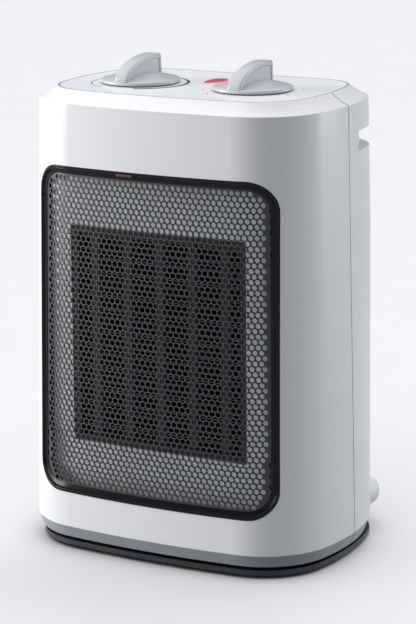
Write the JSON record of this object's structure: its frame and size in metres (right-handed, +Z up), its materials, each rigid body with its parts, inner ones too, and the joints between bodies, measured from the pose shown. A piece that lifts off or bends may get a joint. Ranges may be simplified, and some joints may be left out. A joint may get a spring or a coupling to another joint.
{
  "type": "ceramic space heater",
  "caption": "Upright ceramic fan heater: white shell on a swivel base, curved perforated outlet grille, blade-grip thermostat and selector knobs, red indicator lens.",
  "frame": {"origin": "on the floor under the middle of the whole object's bounding box", "axes": "+Z up, -Y out of the front grille, +X to the right of someone facing the front"},
  "size_m": [0.1846, 0.1359, 0.27],
  "materials": {
    "white_plastic": "satin white moulded ABS",
    "panel_plastic": "fine-grained white ABS",
    "knob_plastic": "satin off-white ABS",
    "vent_plastic": "satin white ABS",
    "black_plastic": "fine-textured black",
    "gloss_black": "piano black",
    "dark_plastic": "dark grey moulded",
    "heat_plastic": "glass-filled heat-resistant black",
    "grey_plastic": "mid grey acetal",
    "switch_plastic": "natural nylon",
    "rubber": "matt black rubber",
    "steel": "zinc plated",
    "mesh_steel": "grey heat-proof coating",
    "reflector_aluminium": "satin bright aluminium",
    "fin_aluminium": "blackened aluminium",
    "ptc_ceramic": "dark grey ceramic",
    "brass": "plain brass",
    "red_lens": "translucent red acrylic",
    "dark_red_lens": "dark translucent red",
    "lamp_glass": "neon lamp glass",
    "filter_fabric": "woven nylon dust mesh",
    "wire_pvc": "PVC insulation"
  },
  "bodies": {
    "base": {"base_plate": "black_plastic", "rubber_feet": "rubber", "crank_rails": "black_plastic", "pivot_retainer": "steel", "tip_switch_body": "switch_plastic"},
    "plunger": {"tip_plunger": "grey_plastic"},
    "crank": {"crank": "grey_plastic"},
    "thermostat_control": {"thermostat_knob": "knob_plastic", "thermostat_stem": "brass"},
    "selector_control": {"selector_knob": "knob_plastic", "selector_stem": "brass"},
    "fan": {"fan_impeller": "dark_plastic", "motor_shaft": "steel"},
    "rocker": {"power_rocker": "black_plastic"},
    "housing": {"bottom_pan": "dark_plastic", "glide_pads": "grey_plastic", "pivot_bush": "grey_plastic", "oscillation_motor": "steel", "pan_screws": "steel", "front_housing": "white_plastic", "rear_cover": "white_plastic", "housing_screws": "steel", "top_panel": "panel_plastic", "indicator_lens": "red_lens", "cord_outlet": "white_plastic", "indicator_lamp": "lamp_glass", "grille_bezel": "gloss_black", "status_window": "dark_red_lens", "grille_mesh": "mesh_steel", "reflector_plate": "reflector_aluminium", "element_frame": "heat_plastic", "ceramic_stones": "ptc_ceramic", "heater_fins": "fin_aluminium", "electrode_tabs": "brass", "thermal_cutout": "heat_plastic", "thermal_fuse": "brass", "air_duct": "heat_plastic", "motor_spider": "steel", "fan_motor": "steel", "thermostat_body": "switch_plastic", "selector_body": "switch_plastic", "rear_grille": "vent_plastic", "dust_filter": "filter_fabric", "power_switch_bezel": "black_plastic", "cord_gland": "rubber", "terminal_block": "switch_plastic", "wiring": "wire_pvc"}
  },
  "joints": [
    {"name": "oscillation", "type": "hinge", "parent": "base", "child": "housing", "pos_m": [0, -0.0036, 0.0075], "axis": [0, 0, 1], "range_deg": [-30, 30]},
    {"name": "crank_turn", "type": "hinge", "parent": "housing", "child": "crank", "pos_m": [0, 0.0264, 0.015], "axis": [0, 0, 1], "range_deg": [-120, 120]},
    {"name": "tip_plunger_travel", "type": "slide", "parent": "base", "child": "plunger", "axis": [0, 0, -1], "range_m": [0, 0.0025], "stiffness_N_per_m": 40, "springref_m": 0.004},
    {"name": "thermostat_turn", "type": "hinge", "parent": "housing", "child": "thermostat_control", "pos_m": [-0.0347, -0.0096, 0.255], "axis": [0, 0, -1], "range_deg": [-135, 135]},
    {"name": "selector_turn", "type": "hinge", "parent": "housing", "child": "selector_control", "pos_m": [0.0347, -0.0096, 0.255], "axis": [0, 0, -1], "range_deg": [0, 270]},
    {"name": "fan_spin", "type": "hinge", "parent": "housing", "child": "fan", "pos_m": [0, -0.0016, 0.1215], "axis": [0, -1, 0], "continuous": true},
    {"name": "power_rocker_tip", "type": "hinge", "parent": "housing", "child": "rocker", "pos_m": [0.03, 0.05632, 0.042], "axis": [1, 0, 0], "range_deg": [0, 12]}
  ],
  "couplings": [
    {"joint": "crank_turn", "follows": "oscillation", "ratio": -4}
  ]
}
